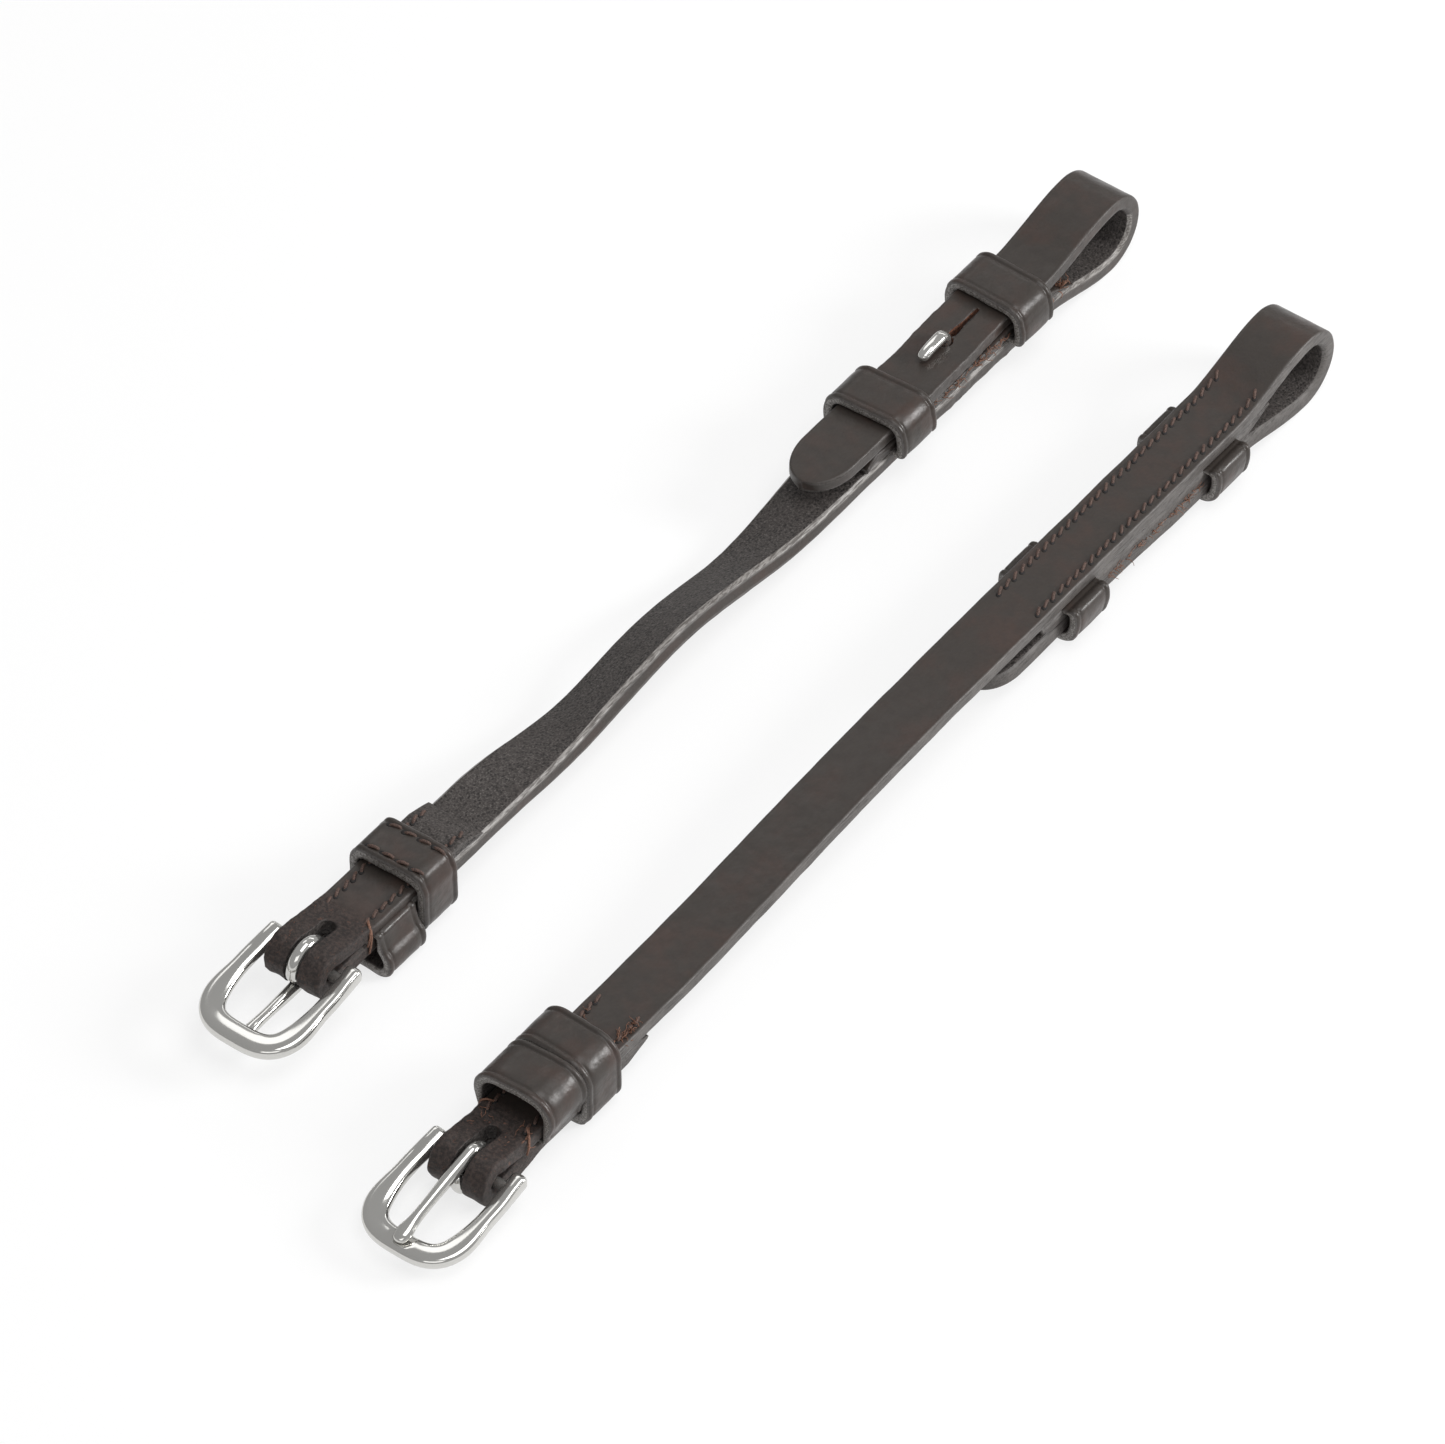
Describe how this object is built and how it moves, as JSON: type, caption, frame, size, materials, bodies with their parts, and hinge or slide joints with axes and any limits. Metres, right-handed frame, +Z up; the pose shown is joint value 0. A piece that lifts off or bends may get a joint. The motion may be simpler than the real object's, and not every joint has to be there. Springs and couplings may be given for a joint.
{
  "type": "bridle cheekpieces",
  "caption": "Leather bridle cheekpieces, each with a buckle, fixed keeper and sliding runner at one end and a billet hooked back over a hook stud to form a bit loop at the other.",
  "frame": {"origin": "on the table, midway between the two cheekpieces and midway along the laid-out pair", "axes": "+Z up from the table; +Y along the straps from the buckles to the bit loops; +X from the left cheekpiece (flesh side up) to the right one (grain side up)"},
  "size_m": [0.0746, 0.293, 0.0183],
  "materials": {
    "leather": "waxed dark brown bridle leather, smooth on the grain side and matt on the flesh side",
    "thread": "waxed brown thread",
    "polished_steel": "polished"
  },
  "bodies": {
    "left_cheekpiece": {"left_strap": "leather", "left_lining": "leather", "left_fixed_keeper": "leather", "left_lower_keeper": "leather", "left_upper_keeper": "leather", "left_hook_stud": "polished_steel", "left_chape_stitching": "thread", "left_lining_stitching": "thread"},
    "left_runner": {"left_runner": "leather", "left_runner_stitching": "thread"},
    "left_buckle": {"left_buckle_frame": "polished_steel", "left_buckle_bar": "polished_steel"},
    "left_tongue": {"left_buckle_tongue": "polished_steel"},
    "right_cheekpiece": {"right_strap": "leather", "right_lining": "leather", "right_fixed_keeper": "leather", "right_lower_keeper": "leather", "right_upper_keeper": "leather", "right_hook_stud": "polished_steel", "right_chape_stitching": "thread", "right_lining_stitching": "thread"},
    "right_runner": {"right_runner": "leather", "right_runner_stitching": "thread"},
    "right_buckle": {"right_buckle_frame": "polished_steel", "right_buckle_bar": "polished_steel"},
    "right_tongue": {"right_buckle_tongue": "polished_steel"}
  },
  "joints": [
    {"name": "left_runner_slide", "type": "slide", "parent": "left_cheekpiece", "child": "left_runner", "axis": [0, 1, 0], "range_m": [0, 0.016]},
    {"name": "left_buckle_swing", "type": "hinge", "parent": "left_cheekpiece", "child": "left_buckle", "pos_m": [-0.026, -0.1065, 0.01005], "axis": [1, 0, 0], "range_deg": [-60, 30]},
    {"name": "left_tongue_swing", "type": "hinge", "parent": "left_buckle", "child": "left_tongue", "pos_m": [-0.026, -0.1065, 0.01005], "axis": [1, 0, 0], "range_deg": [0, 85]},
    {"name": "right_runner_slide", "type": "slide", "parent": "right_cheekpiece", "child": "right_runner", "axis": [0, 1, 0], "range_m": [0, 0.016]},
    {"name": "right_buckle_swing", "type": "hinge", "parent": "right_cheekpiece", "child": "right_buckle", "pos_m": [0.026, -0.1245, 0.00602], "axis": [-1, 0, 0], "range_deg": [-60, 30]},
    {"name": "right_tongue_swing", "type": "hinge", "parent": "right_buckle", "child": "right_tongue", "pos_m": [0.026, -0.1245, 0.00602], "axis": [-1, 0, 0], "range_deg": [0, 85]},
    {"name": "right_cheekpiece_lift", "type": "slide", "parent": "left_cheekpiece", "child": "right_cheekpiece", "axis": [0, 0, 1], "range_m": [0, 0.05]}
  ]
}
